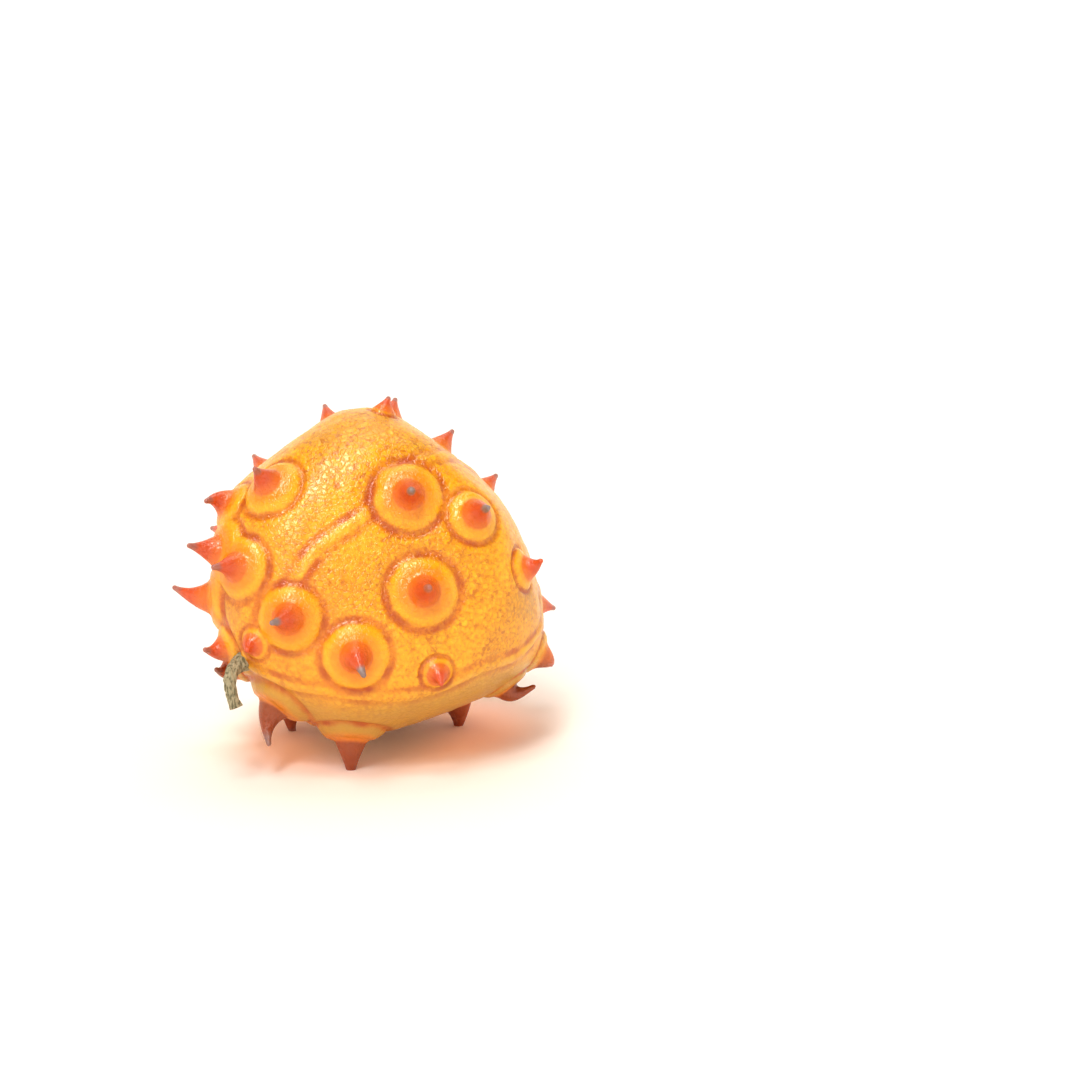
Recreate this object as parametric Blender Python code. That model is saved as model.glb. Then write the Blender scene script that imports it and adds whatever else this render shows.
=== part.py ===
"""Horned melon (kiwano): one whole fruit with its horns, and the dried stub of its stalk.

The fruit lies on four of its horns. Its long axis runs along X, with the stalk end at -X and
tipped down. The origin is on the floor, under the middle of the fruit. Metres, +Z up.

A place on the skin is given by two angles in degrees. The station runs from 0 at the stalk to
180 at the blossom scar. The turn goes around the long axis: 90 is on top, 180 faces -Y and 270
is underneath.
"""

from math import acos, cos, degrees, exp, log1p, pi, radians, sin
from typing import NamedTuple

import bmesh
import bpy
from mathutils import Matrix, Vector

MM = 0.001

# The fruit as it lies: its middle over the floor, how far the stalk end tips down, and how far it
# is rolled towards the back.
FRUIT_CENTRE = Vector((4.15, -0.55, 41.55)) * MM
STALK_END_DROP = radians(16.3)
FRUIT_ROLL = radians(2.0)

# The body before its sides are flattened: half its length, and its radius.
HALF_LENGTH = 50.0 * MM
GIRTH_RADIUS = 47.0 * MM
BODY_SUBDIVISIONS = 5

# The broad flat sides between the ridges: station, turn, and distance from the middle in mm.
FLAT_SIDES = (
    (135, 120, 37.0),
    (135, 170, 39.5),
    (80, 245, 38.0),
    (45, 295, 39.0),
    (50, 10, 38.5),
    (85, 55, 41.0),
    (60, 145, 39.5),
    (75, 275, 36.5),
    (135, 335, 40.0),
    (140, 270, 41.0),
    (90, 5, 41.5),
    (105, 32, 40.0),
    (105, 320, 42.0),
    (60, 335, 41.5),
    (130, 58, 41.0),
    (160, 95, 39.0),
    (165, 0, 43.0),
)
RIDGE_SOFTNESS = 3.5 * MM
FLATTENING = 0.92

# The low dome that carries each horn.
DOME_RADIUS = 10.0 * MM
DOME_RISE = 1.1 * MM

# The horn: a cone with a flared root and a blunt tip, bent from the skin towards its aim.
HORN_ROOT_RADIUS = 4.4 * MM
HORN_TIP_RADIUS = 0.5 * MM
HORN_FLARE = 2.0
HORN_SINK = 1.4 * MM
HORN_RINGS = (0.0, 0.14, 0.34, 0.66, 0.97)
HORN_SEGMENTS = 8
FULL_HORN = 9.5
STUNTED_WIDTH = 0.45
BEND = 0.45


class Horn(NamedTuple):
    """Where a horn stands, where it points, and its length in mm."""

    station: float
    turn: float
    aim_station: float
    aim_turn: float
    length: float


# The horns of the near side, which stand apart and lean each its own way.
NEAR_HORNS = (
    Horn(77, 132, 58, 145, 9.5),
    Horn(91, 148, 73, 150, 9.0),
    Horn(65, 160, 62, 145, 9.5),
    Horn(27, 140, 28, 130, 9.5),
    Horn(40, 174, 55, 190, 9.5),
    Horn(62, 190, 50, 200, 4.5),
    Horn(56, 90, 55, 105, 8.5),
    Horn(51, 66, 28, 90, 7.5),
    Horn(35, 68, 35, 65, 9.0),
    Horn(30, 90, 25, 90, 8.5),
    Horn(27, 36, 72, 15, 11.0),
    Horn(10, 12, 25, 80, 6.5),
    Horn(17, 326, 25, 95, 6.0),
    Horn(11, 133, 28, 165, 4.5),
    Horn(19, 256, 42, 235, 11.0),
    Horn(97, 222, 120, 180, 7.5),
    Horn(111, 214, 130, 280, 7.0),
    Horn(104, 172, 98, 150, 6.0),
    Horn(76, 270, 76, 270, 4.2),
)

# The four horns that the fruit lies on. They point straight down, worn blunt at the floor.
DOWN = (73.7, 268.0)
FOOT_HORNS = (
    Horn(44, 236, *DOWN, 11.35),
    Horn(100, 254, *DOWN, 10.0),
    Horn(60, 300, *DOWN, 11.25),
    Horn(94, 293, *DOWN, 9.75),
)
FLOOR_CUTTER_SIZE = 120.0 * MM

# The row of horns behind the top ridge, which lean back: station, turn and length in mm.
NEAR_SIDE = (48, 146)
RIDGE_ROW = (
    (74, 16, 8.5),
    (90, 38, 8.5),
    (108, 58, 8.5),
    (125, 77, 8.0),
    (142, 95, 8.0),
    (157, 124, 7.5),
    (104, 97, 4.0),
)
RIDGE_ROW_LEAN = 0.4

# The horns of the far side follow a spiral, as leaves do on a stem.
SPIRAL_PLACES = 62
GOLDEN_ANGLE = 137.5
FAR_SIDE_EDGE = -0.4
HORN_SPACING = 16.0 * MM
FAR_HORN_LENGTH = 8.8
FAR_HORN_VARIATION = 1.2
FAR_HORN_VARIATION_STEP = 2.4
FAR_HORN_LEAN = 0.18
FAR_HORN_LEAN_STEPS = (2.1, 1.3, 1.7)
FLOOR_CLEARANCE = 1.2 * MM

# The dried stalk: it leaves the stalk end and hangs down.
STALK_GAP = 0.35 * MM
STALK_RADIUS = 1.5 * MM
STALK_NECK = 1.6 * MM
STALK_NECK_WIDTHS = (1.6, 1.3)
STALK_ROUTE = (
    ((-3.2, -0.3, -1.2), 1.1),
    ((-4.6, -0.8, -3.0), 1.0),
    ((-5.2, -1.6, -5.4), 0.95),
    ((-5.2, -2.4, -7.8), 0.9),
    ((-4.8, -3.0, -9.8), 1.05),
)
STALK_BEVEL_RESOLUTION = 3
STALK_CURVE_STEPS = 3

# The materials: colour and roughness.
MELON_SKIN = ((0.93, 0.40, 0.02), 0.4)
DRY_STALK = ((0.30, 0.28, 0.17), 0.85)

WELD_DISTANCE = 0.00001


def direction(station, turn):
    """The unit vector of a station and turn, in the fruit's own frame."""
    along, around = radians(station), radians(turn)
    return Vector((-cos(along), sin(along) * cos(around), sin(along) * sin(around)))


def soft_excess(distance):
    """How far a point stands past a flat side, with the ridge at its edge rounded."""
    return max(distance, 0.0) + RIDGE_SOFTNESS * log1p(exp(-abs(distance) / RIDGE_SOFTNESS))


FLAT_PLANES = tuple((direction(station, turn), reach * MM) for station, turn, reach in FLAT_SIDES)


def skin_point(heading):
    """The point of the plain body in a heading from its middle, before any dome or horn."""
    point = Vector((heading.x * HALF_LENGTH, heading.y * GIRTH_RADIUS, heading.z * GIRTH_RADIUS))
    for normal, reach in FLAT_PLANES:
        point = point - normal * FLATTENING * soft_excess(point.dot(normal) - reach)
    return point


def skin_normal(heading):
    """The outward normal of the plain body, from two short steps along its skin."""
    step = 0.01
    side = heading.orthogonal().normalized()
    across = heading.cross(side)
    run_side = skin_point(heading + side * step) - skin_point(heading - side * step)
    run_across = skin_point(heading + across * step) - skin_point(heading - across * step)
    return run_side.cross(run_across).normalized()


def world_from_fruit():
    """The placement of the fruit's own frame in the world."""
    drop = Matrix.Rotation(-STALK_END_DROP, 4, "Y")
    return Matrix.Translation(FRUIT_CENTRE) @ drop @ Matrix.Rotation(FRUIT_ROLL, 4, "X")


def angles(heading):
    """The station and turn of a heading, the reverse of direction()."""
    around = Vector((heading.y, heading.z)).angle_signed(Vector((1.0, 0.0)), 0.0)
    return degrees(acos(max(-1.0, min(1.0, -heading.x)))), degrees(around)


def ridge_horns():
    """The row behind the top ridge, leaning away from the near side."""
    near = direction(*NEAR_SIDE)
    horns = []
    for station, turn, length in RIDGE_ROW:
        aim = (skin_normal(direction(station, turn)) - near * RIDGE_ROW_LEAN).normalized()
        horns.append(Horn(station, turn, *angles(aim), length))
    return tuple(horns)


def room_above_floor(root, aim, length):
    """The length in mm of a horn that grows short where its tip would meet the floor."""
    placement = world_from_fruit()
    fall = -(placement.to_3x3() @ aim).z
    if fall <= 0.0:
        return length
    room = (placement @ root).z - FLOOR_CLEARANCE
    return min(length, (room / fall - DOME_RISE) / MM)


def far_horns(placed):
    """The spiral of horns on the sides that the placed ones leave free."""
    near = direction(*NEAR_SIDE)
    taken = [skin_point(direction(horn.station, horn.turn)) for horn in placed]
    horns = []
    for index in range(SPIRAL_PLACES):
        station = degrees(acos(1.0 - 2.0 * (index + 0.5) / SPIRAL_PLACES))
        turn = index * GOLDEN_ANGLE % 360.0
        heading = direction(station, turn)
        root, normal = skin_point(heading), skin_normal(heading)
        crowded = min((root - other).length for other in taken) < HORN_SPACING
        if crowded or normal.dot(near) > FAR_SIDE_EDGE:
            continue
        taken.append(root)
        lean = Vector([sin(index * step) for step in FAR_HORN_LEAN_STEPS]) * FAR_HORN_LEAN
        aim = (normal + lean).normalized()
        length = FAR_HORN_LENGTH + FAR_HORN_VARIATION * sin(index * FAR_HORN_VARIATION_STEP)
        horns.append(Horn(station, turn, *angles(aim), room_above_floor(root, aim, length)))
    return tuple(horns)


def all_horns():
    """Every horn of the fruit."""
    placed = NEAR_HORNS + FOOT_HORNS + ridge_horns()
    return placed + far_horns(placed)


def horn_radius(height):
    """The radius of a full horn at a height from 0 at its root to 1 at its tip."""
    return HORN_TIP_RADIUS + (HORN_ROOT_RADIUS - HORN_TIP_RADIUS) * (1.0 - height) ** HORN_FLARE


def turned_horn():
    """A straight horn of height 1, turned around Z, as a new bmesh."""
    bm = bmesh.new()
    outline = [(0.0, HORN_RINGS[0])]
    outline += [(horn_radius(height), height) for height in HORN_RINGS]
    outline.append((0.0, 1.0))
    verts = [bm.verts.new((radius, 0.0, height)) for radius, height in outline]
    edges = [bm.edges.new(pair) for pair in zip(verts, verts[1:])]
    bmesh.ops.spin(
        bm,
        geom=verts + edges,
        cent=(0.0, 0.0, 0.0),
        axis=(0.0, 0.0, 1.0),
        angle=2.0 * pi,
        steps=HORN_SEGMENTS,
        use_merge=True,
    )
    bmesh.ops.remove_doubles(bm, verts=bm.verts, dist=WELD_DISTANCE)
    bmesh.ops.recalc_face_normals(bm, faces=bm.faces)
    return bm


def bend_horn(bm, horn):
    """Set a straight horn on the skin, leaving along the normal and turning to its aim."""
    heading = direction(horn.station, horn.turn)
    normal = skin_normal(heading)
    root = skin_point(heading) + normal * (DOME_RISE * growth(horn) - HORN_SINK)
    aim = direction(horn.aim_station, horn.aim_turn)
    tip = root + normal * HORN_SINK + aim * horn.length * MM
    knee = root + normal * (tip - root).length * BEND
    width = STUNTED_WIDTH + (1.0 - STUNTED_WIDTH) * growth(horn)
    upright = Vector((0.0, 0.0, 1.0)).rotation_difference(normal)
    for vert in bm.verts:
        height = vert.co.z
        before, after = root.lerp(knee, height), knee.lerp(tip, height)
        bend = normal.rotation_difference(after - before)
        ring = Vector((vert.co.x, vert.co.y, 0.0)) * width
        vert.co = before.lerp(after, height) + bend @ (upright @ ring)


def growth(horn):
    """The size of a horn and of its dome beside a full one."""
    return min(1.0, horn.length / FULL_HORN)


def dome_rise(point, roots):
    """How far the domes around a body point lift it."""
    rise = 0.0
    for horn, root in roots.items():
        distance = (point - root).length / (DOME_RADIUS * growth(horn))
        if distance < 1.0:
            rise += DOME_RISE * growth(horn) * (1.0 - distance * distance) ** 2
    return rise


def new_object(name, bm, collection, parent):
    """An object of a bmesh, linked to a collection and placed by its parent."""
    mesh = bpy.data.meshes.new(name)
    bm.to_mesh(mesh)
    bm.free()
    obj = bpy.data.objects.new(name, mesh)
    obj.parent = parent
    collection.objects.link(obj)
    return obj


def make_cutter(obj):
    """Mark an object as one that only shapes another."""
    obj.hide_render = True
    obj.display_type = "WIRE"


def make_material(name, colour, roughness):
    """A Principled material of one colour."""
    material = bpy.data.materials.new(name)
    material.use_nodes = True
    shader = material.node_tree.nodes["Principled BSDF"]
    shader.inputs["Base Color"].default_value = (*colour, 1.0)
    shader.inputs["Roughness"].default_value = roughness
    shader.inputs["Metallic"].default_value = 0.0
    return material


def new_collection(name):
    """A collection linked to the scene."""
    collection = bpy.data.collections.new(name)
    bpy.context.scene.collection.children.link(collection)
    return collection


def build_melon(parts, horn_cutters, cutters, frame):
    """The body with its domes, joined to its horns and trimmed flat where it rests."""
    horns = all_horns()
    for number, horn in enumerate(horns):
        bm = turned_horn()
        bend_horn(bm, horn)
        make_cutter(new_object(f"horn_{number:02d}", bm, horn_cutters, frame))

    bm = bmesh.new()
    bmesh.ops.create_icosphere(bm, subdivisions=BODY_SUBDIVISIONS, radius=1.0)
    roots = {horn: skin_point(direction(horn.station, horn.turn)) for horn in horns}
    for vert in bm.verts:
        point = skin_point(vert.co.normalized())
        vert.co = point + point.normalized() * dome_rise(point, roots)
    melon = new_object("melon", bm, parts, frame)
    melon.data.materials.append(make_material("melon_skin", *MELON_SKIN))
    melon.data.shade_smooth()

    join = melon.modifiers.new("join_horns", "BOOLEAN")
    join.operation = "UNION"
    join.operand_type = "COLLECTION"
    join.collection = horn_cutters
    join.solver = "EXACT"

    bm = bmesh.new()
    bmesh.ops.create_cube(bm, size=FLOOR_CUTTER_SIZE)
    bmesh.ops.translate(bm, verts=bm.verts, vec=(0.0, 0.0, -0.5 * FLOOR_CUTTER_SIZE))
    floor = new_object("floor_cutter", bm, cutters, None)
    make_cutter(floor)
    trim = melon.modifiers.new("trim_feet", "BOOLEAN")
    trim.operation = "DIFFERENCE"
    trim.object = floor
    trim.solver = "EXACT"
    return melon


def build_stalk(parts):
    """The dried stalk stub, a tapering bent tube that leaves the stalk end of the fruit."""
    placement = world_from_fruit()
    heading = direction(0, 0)
    normal = placement.to_3x3() @ skin_normal(heading)
    start = placement @ skin_point(heading) + normal * STALK_GAP
    points = [(start + normal * run, width) for run, width in zip((0.0, STALK_NECK), STALK_NECK_WIDTHS)]
    points += [(start + Vector(offset) * MM, width) for offset, width in STALK_ROUTE]
    curve = bpy.data.curves.new("stem_stub", "CURVE")
    curve.dimensions = "3D"
    curve.bevel_depth = STALK_RADIUS
    curve.bevel_resolution = STALK_BEVEL_RESOLUTION
    curve.use_fill_caps = True
    curve.resolution_u = STALK_CURVE_STEPS
    spline = curve.splines.new("NURBS")
    spline.points.add(len(points) - 1)
    spline.use_endpoint_u = True
    spline.order_u = 3
    for control, (place, width) in zip(spline.points, points):
        control.co = (*place, 1.0)
        control.radius = width
    stub = bpy.data.objects.new("stem_stub", curve)
    parts.objects.link(stub)
    curve.materials.append(make_material("dry_stalk", *DRY_STALK))
    return stub


def main():
    """Clear the scene and build the fruit."""
    for obj in list(bpy.data.objects):
        bpy.data.objects.remove(obj, do_unlink=True)
    parts = new_collection("horned_melon")
    horn_cutters = new_collection("horned_melon_horns")
    cutters = new_collection("horned_melon_cutters")
    frame = bpy.data.objects.new("fruit_frame", None)
    frame.matrix_world = world_from_fruit()
    parts.objects.link(frame)
    build_melon(parts, horn_cutters, cutters, frame)
    build_stalk(parts)


main()
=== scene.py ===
"""Horned melon: the finished looks of the fruit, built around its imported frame.

The fruit is one grown skin, drawn out into horns, and the dry stub of its stalk. A place on the
skin is given by two angles in degrees: the station runs from 0 at the stalk to 180 at the blossom
scar, and the turn goes around the long axis, with 90 on top, 180 facing -Y and 270 underneath.
"""

import logging
from dataclasses import dataclass, field
from enum import Enum
from math import cos, pi, radians, sin
from typing import Any, NamedTuple

import bmesh
import bpy
import numpy as np
from mathutils import Matrix, Vector, noise

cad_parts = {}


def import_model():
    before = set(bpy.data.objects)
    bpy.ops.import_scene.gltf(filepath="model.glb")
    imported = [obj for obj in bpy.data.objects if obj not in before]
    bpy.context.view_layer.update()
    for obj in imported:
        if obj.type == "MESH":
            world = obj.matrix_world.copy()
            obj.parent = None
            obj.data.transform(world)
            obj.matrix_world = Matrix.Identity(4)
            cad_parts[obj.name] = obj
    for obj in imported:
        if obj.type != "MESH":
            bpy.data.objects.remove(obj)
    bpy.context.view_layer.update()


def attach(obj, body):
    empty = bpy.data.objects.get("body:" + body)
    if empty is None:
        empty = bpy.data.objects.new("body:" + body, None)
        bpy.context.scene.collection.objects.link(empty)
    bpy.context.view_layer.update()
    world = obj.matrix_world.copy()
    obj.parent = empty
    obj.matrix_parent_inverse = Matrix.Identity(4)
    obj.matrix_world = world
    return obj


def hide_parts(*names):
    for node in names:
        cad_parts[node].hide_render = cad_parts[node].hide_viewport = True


log = logging.getLogger("horned_melon")

MM = 0.001
BODY = "root"
VIEW_GAMMA = 0.84
TINY = 1e-9


class Tip(Enum):
    """How far the tip of a horn has dried: the share of the horn that is grey."""

    FRESH = 0.0
    TINGED = 0.55
    DRY = 1.0


class Horn(NamedTuple):
    """Where a horn stands, where it points, its length in mm, its tip and how wide its dome is."""

    station: float
    turn: float
    aim_station: float
    aim_turn: float
    length: float
    tip: Tip = Tip.TINGED
    dome: float = 1.0


# The station and turn that point straight down once the fruit lies in its place.
DOWN = (73.7, 268.0)
NEAR_HORNS = (
    Horn(77, 132, 58, 145, 9.5, Tip.DRY),
    Horn(91, 148, 73, 150, 9.0, Tip.DRY, 0.80),
    Horn(65, 160, 62, 145, 9.5),
    Horn(27, 140, 28, 130, 9.5, Tip.DRY, 0.92),
    Horn(40, 174, 55, 190, 9.5, Tip.DRY, 0.94),
    Horn(62, 190, 50, 200, 4.5, Tip.FRESH),
    Horn(56, 90, 55, 105, 8.5),
    Horn(51, 66, 28, 90, 7.5),
    Horn(35, 68, 35, 65, 9.0),
    Horn(30, 90, 25, 90, 8.5),
    Horn(27, 36, 72, 15, 11.0),
    Horn(10, 12, 25, 80, 6.5),
    Horn(17, 326, 25, 95, 6.0),
    Horn(11, 133, 28, 165, 4.5, Tip.FRESH),
    Horn(19, 256, 42, 235, 11.0),
    Horn(97, 222, 120, 180, 7.5, Tip.FRESH),
    Horn(111, 214, 130, 280, 7.0, Tip.FRESH),
    Horn(104, 172, 98, 150, 6.0, Tip.FRESH),
    Horn(76, 270, 76, 270, 4.2, Tip.FRESH),
)
FOOT_HORNS = (
    Horn(44, 236, *DOWN, 11.35),
    Horn(100, 254, *DOWN, 10.0),
    Horn(60, 300, *DOWN, 11.25),
    Horn(94, 293, *DOWN, 9.75),
)
# The station, turn and length in mm of each horn behind the top ridge.
RIDGE_ROW = (
    (74, 16, 8.5),
    (90, 38, 8.5),
    (108, 58, 8.5),
    (125, 77, 8.0),
    (142, 95, 8.0),
    (157, 124, 7.5),
    (104, 97, 4.0),
)


def direction(station: float, turn: float) -> np.ndarray:
    """The unit vector of a station and turn, in the fruit's own frame.

    Args:
        station: Angle from the stalk end, in degrees.
        turn: Angle around the long axis, in degrees.

    Returns:
        The three components, with X along the fruit.
    """
    along, around = radians(station), radians(turn)
    return np.array((-cos(along), sin(along) * cos(around), sin(along) * sin(around)))


def unit(vectors: np.ndarray) -> np.ndarray:
    """The vectors at length 1.

    Args:
        vectors: One vector, or one to a row.

    Returns:
        An array of the same shape.
    """
    return vectors / np.linalg.norm(vectors, axis=-1, keepdims=True)


def soft_step(low: float, high: float, value: np.ndarray) -> np.ndarray:
    """A smooth rise from 0 at low to 1 at high.

    Args:
        low: Where the rise starts.
        high: Where it ends.
        value: The values to place on it.

    Returns:
        A share from 0 to 1 for each value.
    """
    share = np.clip((value - low) / (high - low), 0.0, 1.0)
    return share * share * (3.0 - 2.0 * share)


@dataclass(frozen=True)
class BodyShape:
    """The body without domes or horns: an egg with broad flat sides and soft ridges between them.

    A flat side is given by the station and turn that it faces and its reach from the middle in mm.
    """

    centre: tuple[float, float, float] = (4.15 * MM, -0.55 * MM, 41.55 * MM)
    stalk_end_drop: float = radians(16.3)
    roll: float = radians(2.0)
    half_length: float = 50.0 * MM
    girth_radius: float = 47.0 * MM
    ridge_softness: float = 3.5 * MM
    flattening: float = 0.92
    normal_step: float = 0.01
    normal_guide: tuple[float, float, float] = (0.31, 0.52, 0.79)
    flat_sides: tuple[tuple[float, float, float], ...] = (
        (135, 120, 37.0),
        (135, 170, 39.5),
        (80, 245, 38.0),
        (45, 295, 39.0),
        (50, 10, 38.5),
        (85, 55, 41.0),
        (60, 145, 39.5),
        (75, 275, 36.5),
        (135, 335, 40.0),
        (140, 270, 41.0),
        (90, 5, 41.5),
        (105, 32, 40.0),
        (105, 320, 42.0),
        (60, 335, 41.5),
        (130, 58, 41.0),
        (160, 95, 39.0),
        (165, 0, 43.0),
    )

    def placement(self) -> Matrix:
        """The placement of the fruit's own frame in the row frame."""
        drop = Matrix.Rotation(-self.stalk_end_drop, 4, "Y")
        return Matrix.Translation(self.centre) @ drop @ Matrix.Rotation(self.roll, 4, "X")

    def points(self, headings: np.ndarray) -> np.ndarray:
        """The points of the body in some headings.

        Args:
            headings: Directions from the middle, one to a row.

        Returns:
            The points in the fruit's own frame, in metres.
        """
        points = headings * np.array((self.half_length, self.girth_radius, self.girth_radius))
        for station, turn, reach in self.flat_sides:
            normal = direction(station, turn)
            past = points @ normal - reach * MM
            excess = np.maximum(past, 0.0) + self.ridge_softness * np.log1p(
                np.exp(-np.abs(past) / self.ridge_softness)
            )
            points = points - self.flattening * excess[..., None] * normal
        return points

    def normals(self, headings: np.ndarray) -> np.ndarray:
        """The outward normals of the body in some headings, from short steps along its skin.

        Args:
            headings: Unit directions from the middle, one to a row.

        Returns:
            Unit normals in the fruit's own frame.
        """
        step = self.normal_step
        side = unit(np.cross(headings, np.array(self.normal_guide)))
        across = np.cross(headings, side)
        run_side = self.points(headings + side * step) - self.points(headings - side * step)
        run_across = self.points(headings + across * step) - self.points(headings - across * step)
        normals = unit(np.cross(run_side, run_across))
        return normals * np.sign(np.sum(normals * headings, axis=-1, keepdims=True))


@dataclass(frozen=True)
class HornRows:
    """Every horn of the fruit: the placed ones, the row behind the ridge and the far spiral."""

    body: BodyShape
    near_side: tuple[float, float] = (48, 146)
    ridge_row_lean: float = 0.4
    spiral_places: int = 62
    golden_angle: float = 137.5
    far_side_edge: float = -0.4
    spacing: float = 16.0 * MM
    far_length: float = 8.8
    far_variation: float = 1.2
    far_variation_step: float = 2.4
    far_lean: float = 0.18
    far_lean_steps: tuple[float, float, float] = (2.1, 1.3, 1.7)
    floor_clearance: float = 1.2 * MM
    dome_rise: float = 1.1

    def at(self, station: float, turn: float, aim: np.ndarray, length: float, tip: Tip) -> Horn:
        """A horn at a place, pointing along a unit vector.

        Args:
            station: Its station.
            turn: Its turn.
            aim: The unit vector it points along.
            length: Its length in mm.
            tip: The state of its tip.

        Returns:
            The horn.
        """
        aim_station = np.degrees(np.arccos(np.clip(-aim[0], -1.0, 1.0)))
        aim_turn = np.degrees(np.arctan2(aim[2], aim[1]))
        return Horn(station, turn, float(aim_station), float(aim_turn), length, tip)

    def ridge(self) -> list[Horn]:
        """The row behind the top ridge, leaning away from the near side.

        Returns:
            Its horns.
        """
        near = direction(*self.near_side)
        horns = []
        for station, turn, length in RIDGE_ROW:
            normal = self.body.normals(direction(station, turn))
            aim = unit(normal - near * self.ridge_row_lean)
            horns.append(self.at(station, turn, aim, length, Tip.TINGED))
        return horns

    def room_above_floor(self, root: np.ndarray, aim: np.ndarray, length: float) -> float:
        """The length of a horn that grows short where its tip would meet the floor.

        Args:
            root: Its root on the skin, in the fruit's own frame.
            aim: The unit vector it points along.
            length: Its full length in mm.

        Returns:
            Its length in mm.
        """
        placement = self.body.placement()
        fall = -(placement.to_3x3() @ Vector(aim)).z
        if fall <= 0.0:
            return length
        room = (placement @ Vector(root)).z - self.floor_clearance
        return min(length, (room / fall - self.dome_rise * MM) / MM)

    def far(self, placed: list[Horn]) -> list[Horn]:
        """The spiral of horns on the sides that the placed ones leave free.

        Args:
            placed: The horns that are there already.

        Returns:
            The horns that the spiral adds.
        """
        near = direction(*self.near_side)
        taken = [self.body.points(direction(horn.station, horn.turn)) for horn in placed]
        horns = []
        for index in range(self.spiral_places):
            station = float(np.degrees(np.arccos(1.0 - 2.0 * (index + 0.5) / self.spiral_places)))
            turn = index * self.golden_angle % 360.0
            heading = direction(station, turn)
            root, normal = self.body.points(heading), self.body.normals(heading)
            crowded = min(np.linalg.norm(root - other) for other in taken) < self.spacing
            if crowded or normal @ near > self.far_side_edge:
                continue
            taken.append(root)
            lean = np.array([sin(index * step) for step in self.far_lean_steps]) * self.far_lean
            aim = unit(normal + lean)
            length = self.far_length + self.far_variation * sin(index * self.far_variation_step)
            length = self.room_above_floor(root, aim, length)
            tip = Tip.DRY if index % 2 else Tip.TINGED
            horns.append(self.at(station, turn, aim, length, tip))
        return horns

    def all(self) -> list[Horn]:
        """Every horn of the fruit."""
        placed = [*NEAR_HORNS, *FOOT_HORNS, *self.ridge()]
        return placed + self.far(placed)


@dataclass(frozen=True)
class HornShape:
    """A horn drawn out of the skin: a fillet at its root, a hollow-sided cone and a round tip.

    The catchment is how far around its root the skin is drawn up. The full length is in mm, as
    each horn's own is.
    """

    full_length: float = 9.5
    catchment: float = 6.2 * MM
    root_radius: float = 4.2 * MM
    tip_radius: float = 0.65 * MM
    hollow: float = 0.74
    fillet: float = 0.45 * MM
    blunting: float = 0.25 * MM
    stunted_width: float = 0.45
    bend: float = 0.45
    dome_rise: float = 1.1 * MM
    profile_steps: int = 160
    cap_steps: int = 20

    def growth(self, horn: Horn) -> float:
        """The size of a horn and of its dome beside a full one."""
        return min(1.0, horn.length / self.full_length)

    def width(self, horn: Horn) -> float:
        """The girth of a horn beside a full one."""
        return self.stunted_width + (1.0 - self.stunted_width) * self.growth(horn)

    def profile(self, length: float, width: float) -> tuple[np.ndarray, np.ndarray, np.ndarray]:
        """The outline of a horn from the edge of its catchment to its tip.

        Args:
            length: The horn's length in metres.
            width: Its girth beside a full horn.

        Returns:
            The share of the outline's length, the radius and the share of the height, in step.
        """
        root, tip = self.root_radius * width, self.tip_radius
        reach = self.catchment * width
        spread = np.linspace(1.0, 0.0, self.profile_steps) ** 2
        radius = tip + (reach - tip) * spread
        rise = length * (1.0 - ((radius - tip) / (root - tip)) ** self.hollow)
        height = self.fillet * np.log1p(np.exp(rise / self.fillet))
        height -= height[0]
        cap = np.linspace(0.0, 0.5 * pi, self.cap_steps)[1:]
        radius = np.concatenate((radius, tip * np.cos(cap)))
        height = np.concatenate((height, height[-1] + tip * np.sin(cap)))
        height *= length / height[-1]
        run = np.concatenate(((0.0,), np.cumsum(np.hypot(np.diff(radius), np.diff(height)))))
        return run / run[-1], radius, height / length


@dataclass(frozen=True)
class SkinRelief:
    """The relief of the skin between the horns.

    Flanks and grooves are placed in radii of a dome, and the furrows beside a vein in its widths.
    """

    dome_radius: float = 9.2 * MM
    dome_rise: float = 0.5 * MM
    flank_rise: float = 1.5 * MM
    flank: tuple[float, float] = (1.06, 0.50)
    groove_depth: float = 0.50 * MM
    groove_width: float = 0.10
    groove_place: float = 1.02
    vein_count: int = 5
    vein_turn: float = 197.0
    vein_wander: float = 5.0
    vein_wander_size: float = 22.0 * MM
    vein_height: float = 0.32 * MM
    vein_width: float = 1.2 * MM
    vein_furrow: float = 0.14 * MM
    furrow_place: float = 2.0
    furrow_sharpness: float = 2.0
    vein_reach: float = 10.0 * MM
    vein_fade: tuple[float, float] = (0.95, 1.15)
    swell: float = 0.45 * MM
    swell_size: float = 11.0 * MM
    wrinkle: float = 0.16 * MM
    wrinkle_size: float = 3.4 * MM
    scar_radius: float = 3.2 * MM
    scar_depth: float = 0.9 * MM
    stalk_end_fade: tuple[float, float] = (0.35, 1.0)
    # How far down the skin faces where the painted shade of the underside fades in.
    underside_fade: tuple[float, float] = (0.15, 0.75)


def build_object(name: str, bm: bmesh.types.BMesh, material: bpy.types.Material) -> bpy.types.Object:
    """An object of a finished bmesh, at the origin and shaded smooth.

    Args:
        name: The piece's name.
        bm: Its mesh in the row frame, which is freed.
        material: Its finish.

    Returns:
        The linked object.
    """
    mesh = bpy.data.meshes.new(name)
    bm.to_mesh(mesh)
    bm.free()
    mesh.shade_smooth()
    mesh.materials.append(material)
    piece = bpy.data.objects.new(name, mesh)
    bpy.context.scene.collection.objects.link(piece)
    return piece


def vertex_array(bm: bmesh.types.BMesh) -> np.ndarray:
    """The places of a bmesh's vertices, one to a row."""
    return np.array([vert.co for vert in bm.verts])


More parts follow.
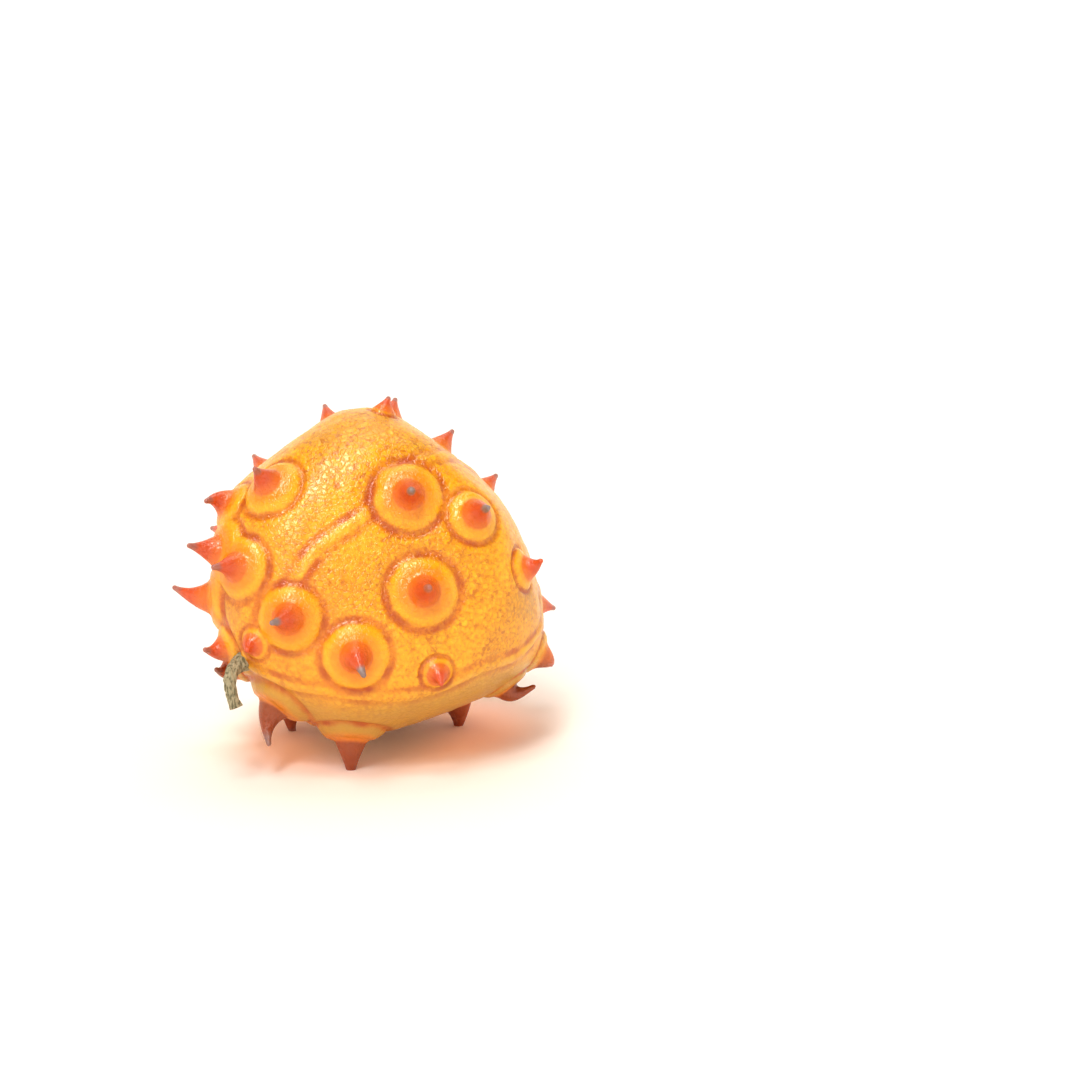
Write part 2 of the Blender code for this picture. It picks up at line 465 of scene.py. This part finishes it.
@dataclass
class MelonSkin:
    """The fruit: one skin with its ridges, domes, grooves and horns."""

    body: BodyShape
    horn_shape: HornShape
    relief: SkinRelief
    subdivisions: int = 7
    refined_radii: tuple[float, float] = (6.2 * MM, 3.0 * MM)
    cut_tolerance: float = 0.0001 * MM

    def __post_init__(self) -> None:
        """Place the horns and find where each stands."""
        self.horns = HornRows(self.body).all()
        headings = np.array([direction(horn.station, horn.turn) for horn in self.horns])
        self.roots = self.body.points(headings)
        self.normals = self.body.normals(headings)
        self.growth = np.array([self.horn_shape.growth(horn) for horn in self.horns])
        spread = np.array([horn.dome for horn in self.horns])
        self.dome_radii = self.relief.dome_radius * self.growth * spread

    def refine(self, bm: bmesh.types.BMesh, radius: float) -> None:
        """Halve the edges around every horn's root.

        Args:
            bm: A bmesh of unit headings.
            radius: How far from a root the edges are halved, in metres.
        """
        points = self.body.points(vertex_array(bm))
        near = np.zeros(len(points), bool)
        for root in self.roots:
            near |= np.linalg.norm(points - root, axis=1) < radius
        edges = [edge for edge in bm.edges if near[edge.verts[0].index] or near[edge.verts[1].index]]
        bmesh.ops.subdivide_edges(bm, edges=edges, cuts=1, use_grid_fill=True)
        bm.verts.index_update()
        for vert in bm.verts:
            vert.co.normalize()

    def dome_distances(self, points: np.ndarray) -> np.ndarray:
        """How far each point is from the nearest horn, in radii of that horn's dome.

        Args:
            points: Points of the plain body.

        Returns:
            A distance for each point.
        """
        nearest = np.full(len(points), np.inf)
        for root, radius in zip(self.roots, self.dome_radii):
            nearest = np.minimum(nearest, np.linalg.norm(points - root, axis=1) / radius)
        return nearest

    def domes(self, points: np.ndarray, distances: np.ndarray) -> np.ndarray:
        """The height of the domes and of the grooves around them.

        Args:
            points: Points of the plain body.
            distances: Their dome distances.

        Returns:
            A height in metres for each point.
        """
        relief = self.relief
        rise = np.zeros(len(points))
        for root, growth, radius in zip(self.roots, self.growth, self.dome_radii):
            distance = np.linalg.norm(points - root, axis=1) / radius
            crown = relief.dome_rise * np.maximum(0.0, 1.0 - distance * distance)
            flank = relief.flank_rise * soft_step(*relief.flank, distance)
            rise = np.maximum(rise, growth * (crown + flank))
        off_groove = (distances - relief.groove_place) / relief.groove_width
        return rise - relief.groove_depth * np.exp(-(off_groove**2))

    def swells(self, points: np.ndarray) -> np.ndarray:
        """The slow swells and small wrinkles of the skin.

        Args:
            points: Points of the plain body.

        Returns:
            A height in metres for each point.
        """
        relief = self.relief
        heights = []
        for point in points:
            place = Vector(point)
            swell = noise.noise(place / relief.swell_size)
            wrinkle = noise.noise(place / relief.wrinkle_size)
            heights.append(relief.swell * swell + relief.wrinkle * wrinkle)
        return np.array(heights)

    def vein_offsets(self, headings: np.ndarray, points: np.ndarray) -> np.ndarray:
        """How far each point is from the nearest of the veins that run from end to end.

        Args:
            headings: The headings of the points.
            points: Points of the plain body.

        Returns:
            A distance in metres for each point.
        """
        relief = self.relief
        turns = np.degrees(np.arctan2(headings[:, 2], headings[:, 1]))
        wander = [noise.noise(Vector(point) / relief.vein_wander_size) for point in points]
        spacing = 360.0 / relief.vein_count
        shift = turns - relief.vein_turn + relief.vein_wander * np.array(wander)
        off_line = np.abs((shift + 0.5 * spacing) % spacing - 0.5 * spacing)
        return np.radians(off_line) * np.hypot(points[:, 1], points[:, 2])

    def veins(self, offsets: np.ndarray, distances: np.ndarray) -> np.ndarray:
        """The height of the veins, each with a furrow on either side, clear of the domes.

        Args:
            offsets: How far each point is from a vein, in metres.
            distances: Their dome distances.

        Returns:
            A height in metres for each point.
        """
        relief = self.relief
        crest = relief.vein_height * np.exp(-((offsets / relief.vein_width) ** 2))
        off_furrow = offsets / relief.vein_width - relief.furrow_place
        furrow = relief.vein_furrow * np.exp(-(off_furrow**2) * relief.furrow_sharpness)
        return (crest - furrow) * soft_step(*relief.vein_fade, distances)

    def underside_shade(self, headings: np.ndarray) -> np.ndarray:
        """How far the skin faces down, from 0 on the sides to 1 underneath: where the painted shade lies."""
        turn = np.array(self.body.placement().to_3x3())
        return soft_step(*self.relief.underside_fade, -(self.body.normals(headings) @ turn.T)[:, 2])

    def scar(self, headings: np.ndarray) -> np.ndarray:
        """The dimple of the blossom scar.

        Args:
            headings: The headings of the points.

        Returns:
            A depth in metres for each heading.
        """
        relief = self.relief
        off_axis = np.hypot(headings[:, 1], headings[:, 2]) * self.body.girth_radius
        inside = soft_step(0.0, 1.0, 1.0 - off_axis / relief.scar_radius) * (headings[:, 0] > 0.0)
        return relief.scar_depth * inside

    def draw_out(self, number: int, points: np.ndarray, heights: np.ndarray) -> None:
        """Pull the skin around one root out into its horn.

        Args:
            number: The horn's place in the list.
            points: The skin's points, which are changed.
            heights: The share of its horn's height for each point, which is changed.
        """
        horn, shape = self.horns[number], self.horn_shape
        normal, width = self.normals[number], shape.width(horn)
        base = self.roots[number] + normal * shape.dome_rise * shape.growth(horn)
        reach = shape.catchment * width
        offset = points - base
        lift = offset @ normal
        flat = offset - lift[:, None] * normal
        distance = np.linalg.norm(flat, axis=1)
        caught = np.flatnonzero((distance < reach) & (np.abs(lift) < reach))
        distance[caught[np.argmin(distance[caught])]] = 0.0

        length = horn.length * MM - shape.blunting
        run, radius, height = shape.profile(length, width)
        share = 1.0 - distance[caught] / reach
        up = np.interp(share, run, height)
        out = np.interp(share, run, radius)
        tip = base + direction(horn.aim_station, horn.aim_turn) * length
        knee = base + normal * length * shape.bend
        before = base + (knee - base) * up[:, None]
        after = knee + (tip - knee) * up[:, None]
        line = unit(after - before)
        ring = flat[caught] / np.maximum(np.linalg.norm(flat[caught], axis=1), TINY)[:, None]
        turn = np.cross(normal, line)
        turned = ring + np.cross(turn, ring)
        turned += np.cross(turn, np.cross(turn, ring)) / (1.0 + line @ normal)[:, None]
        axis = before + (after - before) * up[:, None]
        left = (1.0 - share) ** 2
        points[caught] = axis + turned * out[:, None] + normal * (lift[caught] * left)[:, None]
        heights[caught] = up

    def build(self, material: bpy.types.Material) -> bpy.types.Object:
        """The finished skin.

        Args:
            material: Its finish.

        Returns:
            The piece.
        """
        bm = bmesh.new()
        bmesh.ops.create_icosphere(bm, subdivisions=self.subdivisions, radius=1.0)
        for radius in self.refined_radii:
            self.refine(bm, radius)
        headings = unit(vertex_array(bm))
        plain = self.body.points(headings)
        distances = self.dome_distances(plain)
        offsets = self.vein_offsets(headings, plain)
        relief = self.domes(plain, distances) + self.veins(offsets, distances)
        relief += self.swells(plain) - self.scar(headings)
        points = plain + self.body.normals(headings) * relief[:, None]
        heights = np.zeros(len(points))
        dryness = np.zeros(len(points))
        for number, horn in enumerate(self.horns):
            before = heights.copy()
            self.draw_out(number, points, heights)
            dryness[heights != before] = horn.tip.value
        placement = self.body.placement()
        layers = {
            "dome_distance": distances,
            "horn_height": heights,
            "tip_dryness": dryness,
            "vein_offset": np.minimum(offsets, self.relief.vein_reach) / MM,
            "stalk_nearness": soft_step(*self.relief.stalk_end_fade, -headings[:, 0]),
            # Where the skin faces down and takes the painted shade.
            "underside_shade": self.underside_shade(headings),
            "scar": self.scar(headings) / self.relief.scar_depth,
        }
        for name, values in layers.items():
            layer = bm.verts.layers.float.new(name)
            for vert, value in zip(bm.verts, values):
                vert[layer] = value
        for vert, point in zip(bm.verts, points):
            vert.co = placement @ Vector(point)
        self.trim_feet(bm)
        return build_object("melon_skin", bm, material)

    def trim_feet(self, bm: bmesh.types.BMesh) -> None:
        """Cut the foot horns flat at the floor and close them.

        Args:
            bm: The skin in the row frame.
        """
        bmesh.ops.bisect_plane(
            bm,
            geom=[*bm.verts, *bm.edges, *bm.faces],
            dist=self.cut_tolerance,
            plane_co=(0.0, 0.0, 0.0),
            plane_no=(0.0, 0.0, -1.0),
            clear_outer=True,
        )
        rims = [edge for edge in bm.edges if edge.is_boundary]
        bmesh.ops.holes_fill(bm, edges=rims)
        bmesh.ops.triangulate(bm, faces=[face for face in bm.faces if len(face.verts) > 4])


def srgb(code: str) -> tuple[float, float, float, float]:
    """A linear colour from its sRGB hex code.

    Args:
        code: Six hex digits after a hash sign.

    Returns:
        Red, green, blue and an alpha of 1.
    """
    channels = [int(code[place : place + 2], 16) / 255.0 for place in (1, 3, 5)]
    linear = [c / 12.92 if c <= 0.04045 else ((c + 0.055) / 1.055) ** 2.4 for c in channels]
    return (*linear, 1.0)


def add_node(tree: bpy.types.NodeTree, kind: str, settings: dict[str, Any], inputs: dict[Any, Any]) -> Any:
    """Add a node with its settings and inputs.

    Args:
        tree: The node tree.
        kind: The node's type name.
        settings: Its properties by name.
        inputs: For each input, by name or number, the output socket that feeds it or its value.

    Returns:
        The node.
    """
    node = tree.nodes.new(kind)
    for name, value in settings.items():
        setattr(node, name, value)
    for key, value in inputs.items():
        if isinstance(value, bpy.types.NodeSocket):
            tree.links.new(value, node.inputs[key])
        else:
            node.inputs[key].default_value = value
    return node


class Share(NamedTuple):
    """A share that rises smoothly from 0 to 1 between two values of a measure."""

    measure: str
    low: float
    high: float


class Coat(NamedTuple):
    """A coat of colour: the shares whose product says where it lies, its strength and its colour."""

    where: tuple[str, ...]
    strength: float
    colour: str


@dataclass(frozen=True)
class Finish:
    """A finish made of coats of colour over a ground."""

    name: str
    ground: str
    roughness: float
    shares: dict[str, Share]
    coats: tuple[Coat, ...]

    def start(self) -> tuple[bpy.types.Material, bpy.types.NodeTree, Any, Any]:
        """Start the material.

        Returns:
            The material, its tree, its shader and the socket of its object coordinates in metres.
        """
        material = bpy.data.materials.new(self.name)
        material.use_nodes = True
        tree = material.node_tree
        shader = tree.nodes["Principled BSDF"]
        shader.inputs["Roughness"].default_value = self.roughness
        place = add_node(tree, "ShaderNodeTexCoord", {}, {}).outputs["Object"]
        return material, tree, shader, place

    def measure_shares(self, tree: bpy.types.NodeTree, measures: dict[str, Any]) -> dict[str, Any]:
        """The socket of every share.

        Args:
            tree: The node tree.
            measures: The measures' sockets by name.

        Returns:
            The shares' sockets by name.
        """
        smooth = {"interpolation_type": "SMOOTHSTEP"}
        sockets = {}
        for name, share in self.shares.items():
            inputs = {0: measures[share.measure], 1: share.low, 2: share.high}
            sockets[name] = add_node(tree, "ShaderNodeMapRange", smooth, inputs).outputs[0]
        return sockets

    def paint(self, tree: bpy.types.NodeTree, shares: dict[str, Any]) -> Any:
        """Lay every coat over the ground.

        Args:
            tree: The node tree.
            shares: The shares' sockets by name.

        Returns:
            The colour's socket.
        """
        colour = srgb(self.ground)
        for coat in self.coats:
            factor = coat.strength
            for name in coat.where:
                inputs = {0: shares[name], 1: factor}
                factor = add_node(tree, "ShaderNodeMath", {"operation": "MULTIPLY"}, inputs).outputs[0]
            # A Mix node of colours takes them at its inputs 6 and 7 and gives its result at output 2.
            inputs = {0: factor, 6: colour, 7: srgb(coat.colour)}
            colour = add_node(tree, "ShaderNodeMix", {"data_type": "RGBA"}, inputs).outputs[2]
        return colour


# A grown rind with its natural wax: the wax gives small soft glints, the flesh under it a warm
# depth, and the amber net, flecks and rings keep the gold from looking flat. The pattern sizes
# are in mm and chosen for a fruit of this size. Mottling finer than the flecks is left out.
@dataclass(frozen=True)
class MelonRind(Finish):
    """Ripe horned melon rind: waxed golden skin under a broken amber net, with horns that dry grey."""

    name: str = "horned_melon_rind"
    ground: str = "#FBB408"
    roughness: float = 0.25
    cell_size: float = 1.5
    fleck_size: float = 0.9
    stroke_size: float = 1.7
    patch_size: float = 13.0
    break_size: float = 6.0
    wobble_size: float = 0.9
    wobble: float = 1.5
    ring_wander: float = 0.16
    specular: float = 0.9
    flesh_weight: float = 0.10
    flesh_radius: tuple[float, float, float] = (1.0, 0.40, 0.08)
    flesh_scale: float = 1.5 * MM
    net_bump: tuple[float, float] = (0.4, -0.2 * MM)
    fleck_bump: tuple[float, float] = (0.35, 0.3 * MM)
    attributes: tuple[str, ...] = (
        "dome_distance",
        "horn_height",
        "tip_dryness",
        "scar",
        "vein_offset",
        "stalk_nearness",
        "underside_shade",
    )
    shares: dict[str, Share] = field(
        default_factory=lambda: {
            "pale_cell": Share("cell_tone", 0.55, 0.95),
            "deep_cell": Share("cell_tone", 0.45, 0.05),
            "net_line": Share("net", 0.20, 0.0),
            "net_patch": Share("patches", 0.36, 0.58),
            "fleck": Share("flecks", 0.52, 0.64),
            "pale_fleck": Share("flecks", 0.46, 0.34),
            "stroke": Share("strokes", 0.55, 0.66),
            "olive_patch": Share("patches", 0.5, 0.7),
            "stalk_end": Share("stalk_nearness", 0.0, 1.0),
            "vein_inside": Share("vein_offset", 0.9, 1.9),
            "vein_outside": Share("vein_offset", 3.8, 2.3),
            "vein_top": Share("vein_offset", 1.5, 0.4),
            "unbroken": Share("breaks", 0.40, 0.62),
            # Painted shade: the share of the skin that faces down.
            "shaded_below": Share("underside_shade", 0.0, 1.0),
            "on_dome": Share("ring_place", 1.0, 0.80),
            "skirt": Share("ring_place", 0.80, 0.58),
            "ring_inside": Share("ring_place", 0.87, 0.99),
            "ring_outside": Share("ring_place", 1.22, 1.06),
            "horn_root": Share("horn_height", 0.01, 0.10),
            "horn_side": Share("horn_height", 0.10, 0.5),
            "horn_tip": Share("horn_height", 0.66, 0.84),
            "dry": Share("tip_dryness", 0.0, 1.0),
            "scarred": Share("scar", 0.1, 0.8),
        }
    )
    coats: tuple[Coat, ...] = (
        Coat(("pale_cell",), 0.5, "#FFC820"),
        Coat(("deep_cell",), 0.5, "#F4A40A"),
        Coat(("pale_fleck",), 0.4, "#FFCC28"),
        Coat(("fleck",), 0.5, "#DA8406"),
        Coat(("stroke", "net_patch"), 0.75, "#C86E04"),
        Coat(("net_line", "net_patch"), 0.45, "#C87408"),
        Coat(("olive_patch",), 0.3, "#C99420"),
        Coat(("stalk_end",), 0.3, "#F09E30"),
        Coat(("vein_inside", "vein_outside"), 0.3, "#D26A0A"),
        Coat(("vein_inside", "vein_outside", "unbroken"), 0.8, "#C85C08"),
        Coat(("vein_top", "unbroken"), 0.6, "#FFC640"),
        Coat(("on_dome",), 0.6, "#FFBC1C"),
        # Painted shade: the skin turns darker and tan where it faces down.
        Coat(("shaded_below",), 0.85, "#C8993C"),
        Coat(("ring_inside", "ring_outside"), 0.5, "#D06208"),
        Coat(("ring_inside", "ring_outside", "unbroken"), 0.7, "#BE5002"),
        Coat(("skirt",), 0.65, "#EE8614"),
        Coat(("horn_root",), 1.0, "#E67C26"),
        Coat(("horn_side",), 1.0, "#DA5E2A"),
        # Painted shade: the horns underneath are darker, red-brown.
        Coat(("horn_root", "shaded_below"), 0.9, "#9A4A1E"),
        Coat(("horn_tip", "dry"), 1.0, "#94807C"),
        Coat(("scarred",), 1.0, "#8A6A4A"),
    )

    def build(self) -> bpy.types.Material:
        """Make the material.

        Returns:
            The material.
        """
        material, tree, shader, place = self.start()
        inputs = {"Vector": place, "Scale": (1.0 / MM, 1.0 / MM, 1.0 / MM)}
        mm = add_node(tree, "ShaderNodeMapping", {}, inputs).outputs[0]
        measures = {
            name: add_node(tree, "ShaderNodeAttribute", {"attribute_name": name}, {}).outputs["Fac"]
            for name in self.attributes
        }
        inputs = {"Vector": mm, "Scale": 1.0 / self.wobble_size, "Detail": 2.0}
        wander = add_node(tree, "ShaderNodeTexNoise", {}, inputs).outputs["Color"]
        inputs = {0: wander, 1: (self.wobble, self.wobble, self.wobble), 2: mm}
        bent = add_node(tree, "ShaderNodeVectorMath", {"operation": "MULTIPLY_ADD"}, inputs).outputs[0]
        inputs = {"Vector": bent, "Scale": 1.0 / self.cell_size}
        edges = {"feature": "DISTANCE_TO_EDGE"}
        measures["net"] = add_node(tree, "ShaderNodeTexVoronoi", edges, inputs).outputs[0]
        measures["cell_tone"] = add_node(tree, "ShaderNodeTexVoronoi", {}, inputs).outputs["Color"]
        for name, size, detail in (
            ("flecks", self.fleck_size, 2.0),
            ("strokes", self.stroke_size, 3.0),
            ("patches", self.patch_size, 4.0),
            ("breaks", self.break_size, 3.0),
        ):
            inputs = {"Vector": mm, "Scale": 1.0 / size, "Detail": detail}
            measures[name] = add_node(tree, "ShaderNodeTexNoise", {}, inputs).outputs["Fac"]
        inputs = {0: measures["breaks"], 1: self.ring_wander, 2: -0.5 * self.ring_wander}
        shift = add_node(tree, "ShaderNodeMath", {"operation": "MULTIPLY_ADD"}, inputs).outputs[0]
        inputs = {0: measures["dome_distance"], 1: shift}
        measures["ring_place"] = add_node(tree, "ShaderNodeMath", {}, inputs).outputs[0]

        shares = self.measure_shares(tree, measures)
        tree.links.new(self.paint(tree, shares), shader.inputs["Base Color"])
        shader.inputs["Specular IOR Level"].default_value = self.specular
        shader.inputs["Subsurface Weight"].default_value = self.flesh_weight
        shader.inputs["Subsurface Radius"].default_value = self.flesh_radius
        shader.inputs["Subsurface Scale"].default_value = self.flesh_scale
        strength, depth = self.net_bump
        inputs = {"Height": shares["net_line"], "Strength": strength, "Distance": depth}
        furrowed = add_node(tree, "ShaderNodeBump", {}, inputs).outputs[0]
        strength, depth = self.fleck_bump
        inputs = {"Height": measures["flecks"], "Strength": strength, "Distance": depth, "Normal": furrowed}
        tree.links.new(add_node(tree, "ShaderNodeBump", {}, inputs).outputs[0], shader.inputs["Normal"])
        return material


# A stalk that has dried after picking: dull and grainy, with no shine, and streaked downwards as
# it hangs. The fibre size is in mm and coarser than a real one, so that the fibres show.
@dataclass(frozen=True)
class DryStalk(Finish):
    """Dried stalk: dull grey-green fibres, darker in the furrows between them."""

    name: str = "dried_stalk_fibre"
    ground: str = "#B0A688"
    roughness: float = 0.85
    fibre_size: float = 0.5
    stretch: float = 0.2
    fibre_bump: tuple[float, float] = (0.6, 0.2 * MM)
    shares: dict[str, Share] = field(
        default_factory=lambda: {
            "furrow": Share("fibres", 0.55, 0.35),
            "bleached": Share("fibres", 0.6, 0.75),
        }
    )
    coats: tuple[Coat, ...] = (
        Coat(("furrow",), 0.9, "#6C674C"),
        Coat(("bleached",), 0.8, "#D8CEB0"),
    )

    def build(self) -> bpy.types.Material:
        """Make the material.

        Returns:
            The material.
        """
        material, tree, shader, place = self.start()
        inputs = {"Vector": place, "Scale": (1.0 / MM, 1.0 / MM, self.stretch / MM)}
        mm = add_node(tree, "ShaderNodeMapping", {}, inputs).outputs[0]
        inputs = {"Vector": mm, "Scale": 1.0 / self.fibre_size, "Detail": 4.0}
        fibres = add_node(tree, "ShaderNodeTexNoise", {}, inputs).outputs["Fac"]
        shares = self.measure_shares(tree, {"fibres": fibres})
        tree.links.new(self.paint(tree, shares), shader.inputs["Base Color"])
        strength, depth = self.fibre_bump
        inputs = {"Height": fibres, "Strength": strength, "Distance": depth}
        tree.links.new(add_node(tree, "ShaderNodeBump", {}, inputs).outputs[0], shader.inputs["Normal"])
        return material


# Uncoated paper, pressed smooth: it scatters light evenly and has next to no gloss. Its fibres
# are too fine to show, so a faint mottle stands in for them, coarser than they are.
@dataclass(frozen=True)
class FloorPaper(Finish):
    """Matt white background paper, faintly warm."""

    name: str = "matt_white_paper"
    ground: str = "#FFF9F2"
    roughness: float = 0.9
    fibre_size: float = 0.4
    shares: dict[str, Share] = field(default_factory=lambda: {"fibre": Share("fibres", 0.45, 0.75)})
    coats: tuple[Coat, ...] = (Coat(("fibre",), 0.3, "#FFF4E8"),)

    def build(self) -> bpy.types.Material:
        """Make the material.

        Returns:
            The material.
        """
        material, tree, shader, place = self.start()
        inputs = {"Vector": place, "Scale": 1.0 / (self.fibre_size * MM), "Detail": 2.0}
        fibres = add_node(tree, "ShaderNodeTexNoise", {}, inputs).outputs["Fac"]
        shares = self.measure_shares(tree, {"fibres": fibres})
        tree.links.new(self.paint(tree, shares), shader.inputs["Base Color"])
        return material


def between(first: tuple[Vector, float], second: tuple[Vector, float], share: float) -> tuple[Vector, float]:
    """A place and width between two.

    Args:
        first: The place and width at a share of 0.
        second: Those at a share of 1.
        share: The share.

    Returns:
        The place and the width.
    """
    return first[0].lerp(second[0], share), first[1] + (second[1] - first[1]) * share


@dataclass(frozen=True)
class StalkStub:
    """The dry stub of the stalk, which leaves the stalk end and hangs down.

    The route gives offsets from its start in mm, and its widths are beside the stalk's radius.
    """

    body: BodyShape
    radius: float = 1.5 * MM
    gap: float = 0.35 * MM
    neck: float = 1.6 * MM
    sunk: float = 1.2 * MM
    root_widths: tuple[float, float, float] = (1.7, 1.55, 1.25)
    route: tuple[tuple[tuple[float, float, float], float], ...] = (
        ((-3.2, -0.3, -1.2), 1.1),
        ((-4.6, -0.8, -3.0), 1.0),
        ((-5.2, -1.6, -5.4), 0.95),
        ((-5.2, -2.4, -7.8), 0.9),
        ((-4.8, -3.0, -9.8), 1.05),
    )
    sides: int = 40
    rings: int = 60
    ribs: int = 7
    rib_height: float = 0.08
    rib_twist: float = 2.0
    roughness: float = 0.14
    rough_size: float = 0.9 * MM
    rough_run: float = 8.0
    step: float = 0.02

    def controls(self) -> list[tuple[Vector, float]]:
        """The control points of the stalk's line.

        Returns:
            The place and the width at each.
        """
        placement = self.body.placement()
        heading = direction(0, 0)
        normal = placement.to_3x3() @ Vector(self.body.normals(heading))
        start = placement @ Vector(self.body.points(heading)) + normal * self.gap
        places = (start - normal * self.sunk, start, start + normal * self.neck)
        points = list(zip(places, self.root_widths))
        points += [(start + Vector(offset) * MM, width) for offset, width in self.route]
        return points

    def station(self, share: float) -> tuple[Vector, float]:
        """The line's place and width at a share of its length.

        Args:
            share: From 0 at the fruit to 1 at the broken end.

        Returns:
            The place in the row frame and the width beside the stalk's own.
        """
        points = self.controls()
        spans = len(points) - 2
        first = min(int(share * spans), spans - 1)
        local = share * spans - first
        start, knee, end = points[first : first + 3]
        start = between(start, knee, 0.5) if first > 0 else start
        end = between(knee, end, 0.5) if first < spans - 1 else end
        return between(between(start, knee, local), between(knee, end, local), local)

    def build(self, material: bpy.types.Material) -> bpy.types.Object:
        """The finished stub.

        Args:
            material: Its finish.

        Returns:
            The piece.
        """
        bm = bmesh.new()
        bmesh.ops.create_circle(bm, segments=self.sides, radius=self.radius, cap_ends=True)
        face = bm.faces[:][0]
        outline = [vert.co.copy() for vert in face.verts]
        loops = [list(face.verts)]
        for _ in range(self.rings):
            face = bmesh.ops.extrude_discrete_faces(bm, faces=[face])["faces"][0]
            loops.append(list(face.verts))
        bmesh.ops.holes_fill(bm, edges=[edge for edge in bm.edges if edge.is_boundary])
        upright = Vector((0.0, 0.0, 1.0))
        for number, loop in enumerate(loops):
            share = number / self.rings
            place, width = self.station(share)
            line = self.station(min(1.0, share + self.step))[0] - self.station(max(0.0, share - self.step))[0]
            turn = upright.rotation_difference(line)
            for corner, vert in zip(outline, loop):
                angle = Vector((1.0, 0.0)).angle_signed(corner.xy, 0.0)
                rib = 1.0 + self.rib_height * cos(self.ribs * angle + self.rib_twist * share)
                grain = corner / self.rough_size + upright * share * self.rough_run
                rough = 1.0 + self.roughness * noise.noise(grain)
                vert.co = place + turn @ (corner * (width * rib * rough))
        bmesh.ops.recalc_face_normals(bm, faces=bm.faces)
        return build_object("stem_stub_dry", bm, material)


class Lamp(NamedTuple):
    """A soft far light: its azimuth around from -Y, elevation and spread in degrees, and strength."""

    name: str
    azimuth: float
    elevation: float
    spread: float
    strength: float


@dataclass(frozen=True)
class Studio:
    """A pale floor, soft lights and the camera."""

    body: BodyShape
    azimuth: float = radians(-49.5)
    elevation: float = radians(11.0)
    distance: float = 655.0 * MM
    lens: float = 85.0
    view_right: float = 42.4 * MM
    view_up: float = 9.8 * MM
    sensor_width: float = 36.0
    sky_colour: tuple[float, float, float, float] = (1.0, 0.93, 0.86, 1.0)
    sky_strength: float = 0.22
    lamps: tuple[Lamp, ...] = (
        Lamp("low_key_light", -66.0, 38.0, 14.0, 0.40),
        Lamp("key_light", -66.0, 54.0, 15.0, 1.00),
        Lamp("top_light", -72.0, 76.0, 20.0, 0.90),
        Lamp("back_light", 130.0, 66.0, 40.0, 0.70),
    )
    floor_size: float = 40.0
    floor_segments: int = 80
    flat_radius: float = 1.5
    sweep: float = 0.035
    glow_place: tuple[float, float, float] = (6.0 * MM, -2.0 * MM, 9.0 * MM)
    glow_size: tuple[float, float] = (84.0 * MM, 66.0 * MM)
    glow_power: float = 0.005
    glow_colour: tuple[float, float, float] = (1.0, 0.18, 0.01)

    def add_floor(self) -> bpy.types.Object:
        """The plain floor, which sweeps up far away to stand behind the fruit too.

        Returns:
            The floor.
        """
        bm = bmesh.new()
        segments = self.floor_segments
        bmesh.ops.create_grid(bm, x_segments=segments, y_segments=segments, size=0.5 * self.floor_size)
        for vert in bm.verts:
            vert.co.z = self.sweep * max(0.0, vert.co.length - self.flat_radius) ** 2
        floor = build_object("floor", bm, FloorPaper().build())
        return floor

    def add_lamp(self, lamp: Lamp) -> None:
        """Add one of the far lights.

        Args:
            lamp: The light.
        """
        back = self.away(radians(lamp.azimuth), radians(lamp.elevation))
        light = bpy.data.lights.new(lamp.name, "SUN")
        light.energy = lamp.strength
        light.angle = radians(lamp.spread)
        holder = bpy.data.objects.new(lamp.name, light)
        holder.location = Vector(self.body.centre) + back
        holder.rotation_euler = back.to_track_quat("Z", "Y").to_euler()
        bpy.context.scene.collection.objects.link(holder)

    def away(self, turn: float, rise: float) -> Vector:
        """The unit vector towards an azimuth around from -Y and an elevation, in radians."""
        return Vector((sin(turn) * cos(rise), -cos(turn) * cos(rise), sin(rise)))

    def add_lights(self) -> None:
        """The studio's lights."""
        world = bpy.data.worlds.new("studio")
        world.use_nodes = True
        background = world.node_tree.nodes["Background"]
        background.inputs["Color"].default_value = self.sky_colour
        background.inputs["Strength"].default_value = self.sky_strength
        bpy.context.scene.world = world
        for lamp in self.lamps:
            self.add_lamp(lamp)
        self.add_glow()

    def add_glow(self) -> None:
        """The light that comes through the flesh and tints the floor under the fruit."""
        light = bpy.data.lights.new("glow_through_flesh", "AREA")
        light.shape = "ELLIPSE"
        light.size, light.size_y = self.glow_size
        light.energy = self.glow_power
        light.color = self.glow_colour
        lamp = bpy.data.objects.new("glow_through_flesh", light)
        lamp.location = self.glow_place
        bpy.context.scene.collection.objects.link(lamp)

    def add_camera(self) -> None:
        """The camera."""
        back = self.away(self.azimuth, self.elevation)
        right = (-back).cross(Vector((0.0, 0.0, 1.0))).normalized()
        up = right.cross(-back)
        target = Vector(self.body.centre) + right * self.view_right + up * self.view_up
        data = bpy.data.cameras.new("camera")
        data.lens = self.lens
        data.sensor_width = self.sensor_width
        camera = bpy.data.objects.new("camera", data)
        camera.location = target + back * self.distance
        camera.rotation_euler = back.to_track_quat("Z", "Y").to_euler()
        bpy.context.scene.collection.objects.link(camera)
        bpy.context.scene.camera = camera


def main() -> None:
    """Build the fruit, its stalk and the studio."""
    logging.basicConfig(level=logging.INFO, format="%(message)s")
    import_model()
    body = BodyShape()
    skin = MelonSkin(body, HornShape(), SkinRelief()).build(MelonRind().build())
    stub = StalkStub(body).build(DryStalk().build())
    for piece, node, slot in ((skin, "melon", "melon_skin"), (stub, "stem_stub", "dry_stalk")):
        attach(piece, BODY)
        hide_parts(node)
        log.info("%s: %d faces", piece.name, len(piece.data.polygons))
    studio = Studio(body)
    floor = studio.add_floor()
    log.info("%s: %d faces", floor.name, len(floor.data.polygons))
    studio.add_lights()
    studio.add_camera()
    view = bpy.context.scene.view_settings
    view.view_transform = "Standard"
    view.gamma = VIEW_GAMMA


if __name__ == "__main__":
    main()
